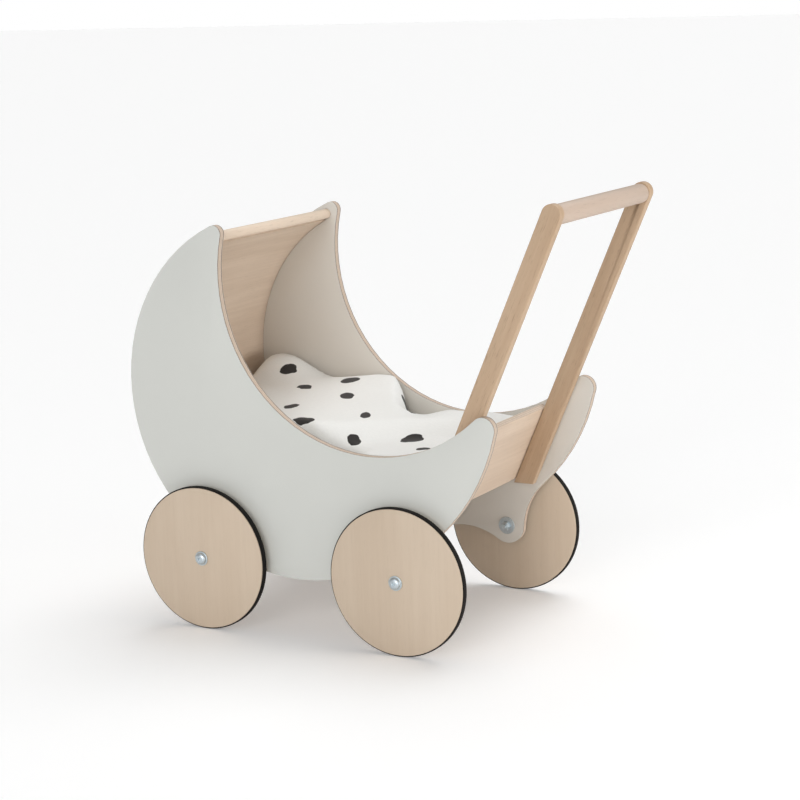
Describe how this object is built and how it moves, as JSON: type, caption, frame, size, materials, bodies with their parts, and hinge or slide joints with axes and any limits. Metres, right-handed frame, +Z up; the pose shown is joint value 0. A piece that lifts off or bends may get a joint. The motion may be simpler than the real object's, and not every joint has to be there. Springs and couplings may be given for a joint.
{
  "type": "doll stroller",
  "caption": "Wooden doll stroller: half-moon side panels, bent hood, sloped push handle with round grip, bedding, and disc wheels with rubber tyres that roll freely.",
  "frame": {"origin": "centre of the bounding box in plan, on the ground under the wheels", "axes": "+X towards the push handle (the hood is at -X), +Y to the pram's right-hand side panel, +Z up"},
  "size_m": [0.5566, 0.31, 0.5058],
  "materials": {
    "laminate": "plywood faced with pale grey laminate, light wood edges",
    "birch_plywood": "clear matt lacquer",
    "beech": "clear matt lacquer",
    "rubber_tyre": "matt black rubber band",
    "zinc_steel": "bright zinc plating",
    "nylon": "natural nylon",
    "plain_cotton": "plain woven cotton over soft filling",
    "spotted_cotton": "woven cotton printed with dark pebble spots over soft filling"
  },
  "bodies": {
    "pram_body": {"axle_bolt_front_left": "zinc_steel", "axle_bolt_front_right": "zinc_steel", "axle_bolt_rear_left": "zinc_steel", "axle_bolt_rear_right": "zinc_steel", "duvet": "spotted_cotton", "floor_panel": "birch_plywood", "floor_panel_dowel_left_1": "beech", "floor_panel_dowel_left_2": "beech", "floor_panel_dowel_right_1": "beech", "floor_panel_dowel_right_2": "beech", "foot_panel": "birch_plywood", "foot_panel_dowel_left_1": "beech", "foot_panel_dowel_left_2": "beech", "foot_panel_dowel_right_1": "beech", "foot_panel_dowel_right_2": "beech", "grip_dowel_left": "beech", "grip_dowel_right": "beech", "handle_grip": "beech", "handle_leg_left": "beech", "handle_leg_right": "beech", "head_washer_front_left": "zinc_steel", "head_washer_front_right": "zinc_steel", "head_washer_rear_left": "zinc_steel", "head_washer_rear_right": "zinc_steel", "hood_crossbar": "beech", "hood_shell": "birch_plywood", "leg_dowel_left_1": "beech", "leg_dowel_left_2": "beech", "leg_dowel_right_1": "beech", "leg_dowel_right_2": "beech", "lock_nut_front_left": "zinc_steel", "lock_nut_front_right": "zinc_steel", "lock_nut_rear_left": "zinc_steel", "lock_nut_rear_right": "zinc_steel", "mattress": "plain_cotton", "nut_washer_front_left": "zinc_steel", "nut_washer_front_right": "zinc_steel", "nut_washer_rear_left": "zinc_steel", "nut_washer_rear_right": "zinc_steel", "pillow": "plain_cotton", "side_panel_left": "laminate", "side_panel_right": "laminate", "wheel_spacer_front_left": "nylon", "wheel_spacer_front_right": "nylon", "wheel_spacer_rear_left": "nylon", "wheel_spacer_rear_right": "nylon"},
    "wheel_front_left": {"wheel_front_left": "birch_plywood", "tyre_front_left": "rubber_tyre", "wheel_bush_front_left": "nylon"},
    "wheel_front_right": {"wheel_front_right": "birch_plywood", "tyre_front_right": "rubber_tyre", "wheel_bush_front_right": "nylon"},
    "wheel_rear_left": {"wheel_rear_left": "birch_plywood", "tyre_rear_left": "rubber_tyre", "wheel_bush_rear_left": "nylon"},
    "wheel_rear_right": {"wheel_rear_right": "birch_plywood", "tyre_rear_right": "rubber_tyre", "wheel_bush_rear_right": "nylon"}
  },
  "joints": [
    {"name": "roll_front_left", "type": "hinge", "parent": "pram_body", "child": "wheel_front_left", "pos_m": [-0.1775, -0.1451, 0.085], "axis": [0, 1, 0], "continuous": true},
    {"name": "roll_front_right", "type": "hinge", "parent": "pram_body", "child": "wheel_front_right", "pos_m": [-0.1775, 0.1451, 0.085], "axis": [0, 1, 0], "continuous": true},
    {"name": "roll_rear_left", "type": "hinge", "parent": "pram_body", "child": "wheel_rear_left", "pos_m": [0.0825, -0.1451, 0.085], "axis": [0, 1, 0], "continuous": true},
    {"name": "roll_rear_right", "type": "hinge", "parent": "pram_body", "child": "wheel_rear_right", "pos_m": [0.0825, 0.1451, 0.085], "axis": [0, 1, 0], "continuous": true}
  ]
}
